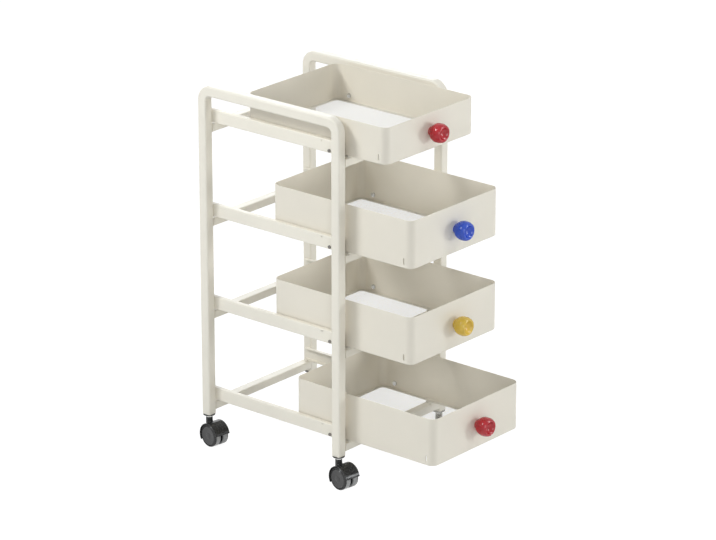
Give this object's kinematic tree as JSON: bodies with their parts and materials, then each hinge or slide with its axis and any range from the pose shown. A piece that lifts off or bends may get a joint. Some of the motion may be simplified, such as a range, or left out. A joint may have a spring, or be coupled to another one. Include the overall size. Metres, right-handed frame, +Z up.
{
  "type": "rolling kitchen cart",
  "caption": "Slim rolling cart of bent square tube with mesh-floored pull-out drawers on roller rails, coloured ball knobs and twin-wheel swivel casters, for storing kitchen goods.",
  "frame": {"origin": "on the floor, under the centre of the footprint of the side frames", "axes": "+Z up, +X to the right of someone facing the drawers, drawers open towards -Y"},
  "size_m": [0.3431, 0.588, 0.7302],
  "materials": {
    "frame_paint": "satin cream powder coat",
    "drawer_paint": "satin cream powder coat",
    "mesh_paint": "cream coated wire mesh",
    "nylon": "natural nylon",
    "dark_steel": "blackened steel",
    "bright_steel": "bright zinc",
    "knob_red": "glossy red",
    "knob_blue": "glossy blue",
    "knob_yellow": "glossy yellow",
    "black_plastic": "satin black",
    "wheel_grey": "satin dark grey"
  },
  "bodies": {
    "frame": {"left_side_frame": "frame_paint", "right_side_frame": "frame_paint", "front_crossbar_1": "frame_paint", "front_crossbar_2": "frame_paint", "front_crossbar_3": "frame_paint", "front_crossbar_4": "frame_paint", "back_crossbar_1": "frame_paint", "back_crossbar_2": "frame_paint", "back_crossbar_3": "frame_paint", "back_crossbar_4": "frame_paint", "left_rail_1": "frame_paint", "left_rail_2": "frame_paint", "left_rail_3": "frame_paint", "left_rail_4": "frame_paint", "right_rail_1": "frame_paint", "right_rail_2": "frame_paint", "right_rail_3": "frame_paint", "right_rail_4": "frame_paint", "glide_pads": "nylon", "stop_screws": "dark_steel", "stop_bushes": "nylon", "leg_sockets": "black_plastic", "caster_stems": "bright_steel"},
    "drawer_1": {"drawer_1_shell": "drawer_paint", "drawer_1_floor": "mesh_paint", "drawer_1_knob": "knob_red", "drawer_1_screws": "bright_steel"},
    "drawer_1_roller_pair": {"drawer_1_rollers": "nylon"},
    "drawer_2": {"drawer_2_shell": "drawer_paint", "drawer_2_floor": "mesh_paint", "drawer_2_knob": "knob_blue", "drawer_2_screws": "bright_steel"},
    "drawer_2_roller_pair": {"drawer_2_rollers": "nylon"},
    "drawer_3": {"drawer_3_shell": "drawer_paint", "drawer_3_floor": "mesh_paint", "drawer_3_knob": "knob_yellow", "drawer_3_screws": "bright_steel"},
    "drawer_3_roller_pair": {"drawer_3_rollers": "nylon"},
    "drawer_4": {"drawer_4_shell": "drawer_paint", "drawer_4_floor": "mesh_paint", "drawer_4_knob": "knob_red", "drawer_4_screws": "bright_steel"},
    "drawer_4_roller_pair": {"drawer_4_rollers": "nylon"},
    "front_left_caster": {"front_left_caster_hood": "black_plastic", "front_left_caster_axle": "dark_steel"},
    "front_left_caster_left_wheel_body": {"front_left_caster_left_wheel": "wheel_grey"},
    "front_left_caster_right_wheel_body": {"front_left_caster_right_wheel": "wheel_grey"},
    "front_right_caster": {"front_right_caster_hood": "black_plastic", "front_right_caster_axle": "dark_steel"},
    "front_right_caster_left_wheel_body": {"front_right_caster_left_wheel": "wheel_grey"},
    "front_right_caster_right_wheel_body": {"front_right_caster_right_wheel": "wheel_grey"},
    "back_left_caster": {"back_left_caster_hood": "black_plastic", "back_left_caster_axle": "dark_steel"},
    "back_left_caster_left_wheel_body": {"back_left_caster_left_wheel": "wheel_grey"},
    "back_left_caster_right_wheel_body": {"back_left_caster_right_wheel": "wheel_grey"},
    "back_right_caster": {"back_right_caster_hood": "black_plastic", "back_right_caster_axle": "dark_steel"},
    "back_right_caster_left_wheel_body": {"back_right_caster_left_wheel": "wheel_grey"},
    "back_right_caster_right_wheel_body": {"back_right_caster_right_wheel": "wheel_grey"}
  },
  "joints": [
    {"name": "drawer_1_slide", "type": "slide", "parent": "frame", "child": "drawer_1", "axis": [0, -1, 0], "range_m": [-0.087, 0.168]},
    {"name": "drawer_1_roller_turn", "type": "hinge", "parent": "drawer_1", "child": "drawer_1_roller_pair", "pos_m": [0, 0.0445, 0.665], "axis": [1, 0, 0], "continuous": true},
    {"name": "drawer_2_slide", "type": "slide", "parent": "frame", "child": "drawer_2", "axis": [0, -1, 0], "range_m": [-0.148, 0.107]},
    {"name": "drawer_2_roller_turn", "type": "hinge", "parent": "drawer_2", "child": "drawer_2_roller_pair", "pos_m": [0, -0.0165, 0.4765], "axis": [1, 0, 0], "continuous": true},
    {"name": "drawer_3_slide", "type": "slide", "parent": "frame", "child": "drawer_3", "axis": [0, -1, 0], "range_m": [-0.149, 0.106]},
    {"name": "drawer_3_roller_turn", "type": "hinge", "parent": "drawer_3", "child": "drawer_3_roller_pair", "pos_m": [0, -0.0175, 0.288], "axis": [1, 0, 0], "continuous": true},
    {"name": "drawer_4_slide", "type": "slide", "parent": "frame", "child": "drawer_4", "axis": [0, -1, 0], "range_m": [-0.2035, 0.0515]},
    {"name": "drawer_4_roller_turn", "type": "hinge", "parent": "drawer_4", "child": "drawer_4_roller_pair", "pos_m": [0, -0.072, 0.0995], "axis": [1, 0, 0], "continuous": true},
    {"name": "front_left_caster_swivel", "type": "hinge", "parent": "frame", "child": "front_left_caster", "pos_m": [-0.15075, -0.165, 0.05], "axis": [0, 0, 1], "continuous": true},
    {"name": "front_left_caster_left_wheel_turn", "type": "hinge", "parent": "front_left_caster", "child": "front_left_caster_left_wheel_body", "pos_m": [-0.16284, -0.17916, 0.0225], "axis": [0.9903, -0.1392, 0], "continuous": true},
    {"name": "front_left_caster_right_wheel_turn", "type": "hinge", "parent": "front_left_caster", "child": "front_left_caster_right_wheel_body", "pos_m": [-0.14303, -0.18194, 0.0225], "axis": [0.9903, -0.1392, 0], "continuous": true},
    {"name": "front_right_caster_swivel", "type": "hinge", "parent": "frame", "child": "front_right_caster", "pos_m": [0.15075, -0.165, 0.05], "axis": [0, 0, 1], "continuous": true},
    {"name": "front_right_caster_left_wheel_turn", "type": "hinge", "parent": "front_right_caster", "child": "front_right_caster_left_wheel_body", "pos_m": [0.13866, -0.17916, 0.0225], "axis": [0.9903, -0.1392, 0], "continuous": true},
    {"name": "front_right_caster_right_wheel_turn", "type": "hinge", "parent": "front_right_caster", "child": "front_right_caster_right_wheel_body", "pos_m": [0.15847, -0.18194, 0.0225], "axis": [0.9903, -0.1392, 0], "continuous": true},
    {"name": "back_left_caster_swivel", "type": "hinge", "parent": "frame", "child": "back_left_caster", "pos_m": [-0.15075, 0.165, 0.05], "axis": [0, 0, 1], "continuous": true},
    {"name": "back_left_caster_left_wheel_turn", "type": "hinge", "parent": "back_left_caster", "child": "back_left_caster_left_wheel_body", "pos_m": [-0.16284, 0.15085, 0.0225], "axis": [0.9903, -0.1392, 0], "continuous": true},
    {"name": "back_left_caster_right_wheel_turn", "type": "hinge", "parent": "back_left_caster", "child": "back_left_caster_right_wheel_body", "pos_m": [-0.14303, 0.14806, 0.0225], "axis": [0.9903, -0.1392, 0], "continuous": true},
    {"name": "back_right_caster_swivel", "type": "hinge", "parent": "frame", "child": "back_right_caster", "pos_m": [0.15075, 0.165, 0.05], "axis": [0, 0, 1], "continuous": true},
    {"name": "back_right_caster_left_wheel_turn", "type": "hinge", "parent": "back_right_caster", "child": "back_right_caster_left_wheel_body", "pos_m": [0.13866, 0.15085, 0.0225], "axis": [0.9903, -0.1392, 0], "continuous": true},
    {"name": "back_right_caster_right_wheel_turn", "type": "hinge", "parent": "back_right_caster", "child": "back_right_caster_right_wheel_body", "pos_m": [0.15847, 0.14806, 0.0225], "axis": [0.9903, -0.1392, 0], "continuous": true}
  ],
  "couplings": [
    {"joint": "drawer_1_roller_turn", "follows": "drawer_1_slide", "rad_per_m": 105.26},
    {"joint": "drawer_2_roller_turn", "follows": "drawer_2_slide", "rad_per_m": 105.26},
    {"joint": "drawer_3_roller_turn", "follows": "drawer_3_slide", "rad_per_m": 105.26},
    {"joint": "drawer_4_roller_turn", "follows": "drawer_4_slide", "rad_per_m": 105.26}
  ]
}
